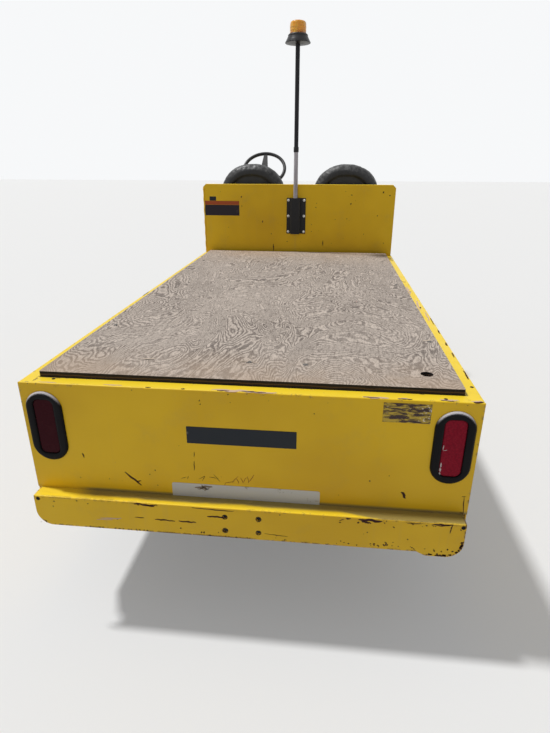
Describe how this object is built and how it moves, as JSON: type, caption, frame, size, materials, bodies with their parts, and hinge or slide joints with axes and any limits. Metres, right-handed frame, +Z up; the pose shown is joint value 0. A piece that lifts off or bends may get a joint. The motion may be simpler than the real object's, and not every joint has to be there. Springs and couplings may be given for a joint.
{
  "type": "electric utility vehicle",
  "caption": "Flat-deck electric utility vehicle with two seats, step floor, steered front wheels and a beacon mast.",
  "frame": {"origin": "on the ground at the centre of the overall length and width", "axes": "+Y forward, +X to the vehicle's right, +Z up"},
  "size_m": [1.143, 3.282, 1.938],
  "materials": {
    "yellow_paint": "semi-gloss, weathered",
    "chassis_paint": "matt black",
    "deck_ply": "weathered grey",
    "black_rubber": "matt",
    "red_lens": "gloss",
    "vinyl": "black vinyl, satin",
    "headlight_shell": "satin black",
    "control_black": "satin black",
    "wheel_grip": "satin black",
    "mast_metal": "black over grey conduit",
    "beacon_black": "matt black",
    "amber_lens": "amber, gloss",
    "motor_case": "satin dark grey",
    "battery_case": "matt",
    "steering_steel": "dusty forged steel",
    "rim_white": "satin white",
    "tyre_rubber": "dusty"
  },
  "bodies": {
    "chassis": {"body_side_left": "yellow_paint", "body_side_right": "yellow_paint", "rear_panel": "yellow_paint", "rear_bumper": "yellow_paint", "backboard": "yellow_paint", "seat_box": "yellow_paint", "step_floor": "yellow_paint", "front_cowl": "yellow_paint", "dash_panel": "yellow_paint", "grab_bar": "yellow_paint", "chassis_rails": "chassis_paint", "cross_members": "chassis_paint", "deck_bearers": "chassis_paint", "leaf_springs": "chassis_paint", "front_axle": "chassis_paint", "rear_axle": "chassis_paint", "wheel_wells": "chassis_paint", "deck_board": "deck_ply", "tail_lamp_grommets": "black_rubber", "tail_lamp_lenses": "red_lens", "seat_cushions": "vinyl", "seat_backs": "vinyl", "headlights": "headlight_shell", "steering_column": "control_black", "foot_controls": "control_black", "beacon_bracket": "control_black", "beacon_pole": "mast_metal", "beacon_base": "beacon_black", "beacon_lens": "amber_lens", "drive_motor": "motor_case", "battery_pack": "battery_case"},
    "steering": {"steering_wheel": "wheel_grip"},
    "knuckle_l": {"knuckle_left": "steering_steel"},
    "knuckle_r": {"knuckle_right": "steering_steel"},
    "tie": {"tie_rod": "steering_steel"},
    "drag": {"drag_link": "steering_steel"},
    "pitman": {"pitman_arm": "steering_steel"},
    "wheel_fl": {"rim_front_left": "rim_white", "tyre_front_left": "tyre_rubber"},
    "wheel_fr": {"rim_front_right": "rim_white", "tyre_front_right": "tyre_rubber"},
    "wheel_rl": {"rim_rear_left": "rim_white", "tyre_rear_left": "tyre_rubber"},
    "wheel_rr": {"rim_rear_right": "rim_white", "tyre_rear_right": "tyre_rubber"}
  },
  "joints": [
    {"name": "steering_turn", "type": "hinge", "parent": "chassis", "child": "steering", "pos_m": [-0.267, 1.001, 1.207], "axis": [0, -0.7071, 0.7071], "range_deg": [-360, 360]},
    {"name": "steer_left", "type": "hinge", "parent": "chassis", "child": "knuckle_l", "pos_m": [-0.345, 0.801, 0.2325], "axis": [0, 0, 1], "range_deg": [-28, 28]},
    {"name": "steer_right", "type": "hinge", "parent": "chassis", "child": "knuckle_r", "pos_m": [0.345, 0.801, 0.2325], "axis": [0, 0, 1], "range_deg": [-28, 28]},
    {"name": "tie_rod_pivot", "type": "hinge", "parent": "knuckle_l", "child": "tie", "pos_m": [-0.345, 0.681, 0.16], "axis": [0, 0, 1], "range_deg": [-28, 28]},
    {"name": "drag_link_pivot", "type": "hinge", "parent": "knuckle_l", "child": "drag", "pos_m": [-0.215, 0.801, 0.16], "axis": [0, 0, 1], "range_deg": [-28, 28]},
    {"name": "pitman_turn", "type": "hinge", "parent": "chassis", "child": "pitman", "pos_m": [-0.267, 1.356, 0.18], "axis": [0, 0, 1], "range_deg": [-28, 28]},
    {"name": "front_left_spin", "type": "hinge", "parent": "knuckle_l", "child": "wheel_fl", "pos_m": [-0.443, 0.801, 0.2325], "axis": [1, 0, 0], "continuous": true},
    {"name": "front_right_spin", "type": "hinge", "parent": "knuckle_r", "child": "wheel_fr", "pos_m": [0.443, 0.801, 0.2325], "axis": [1, 0, 0], "continuous": true},
    {"name": "rear_left_spin", "type": "hinge", "parent": "chassis", "child": "wheel_rl", "pos_m": [-0.443, -0.769, 0.2325], "axis": [1, 0, 0], "continuous": true},
    {"name": "rear_right_spin", "type": "hinge", "parent": "chassis", "child": "wheel_rr", "pos_m": [0.443, -0.769, 0.2325], "axis": [1, 0, 0], "continuous": true}
  ],
  "couplings": [
    {"joint": "steer_left", "follows": "steering_turn", "ratio": 0.077778},
    {"joint": "steer_right", "follows": "steering_turn", "ratio": 0.077778},
    {"joint": "tie_rod_pivot", "follows": "steering_turn", "ratio": -0.077778},
    {"joint": "drag_link_pivot", "follows": "steering_turn", "ratio": -0.077778},
    {"joint": "pitman_turn", "follows": "steering_turn", "ratio": 0.077778}
  ]
}
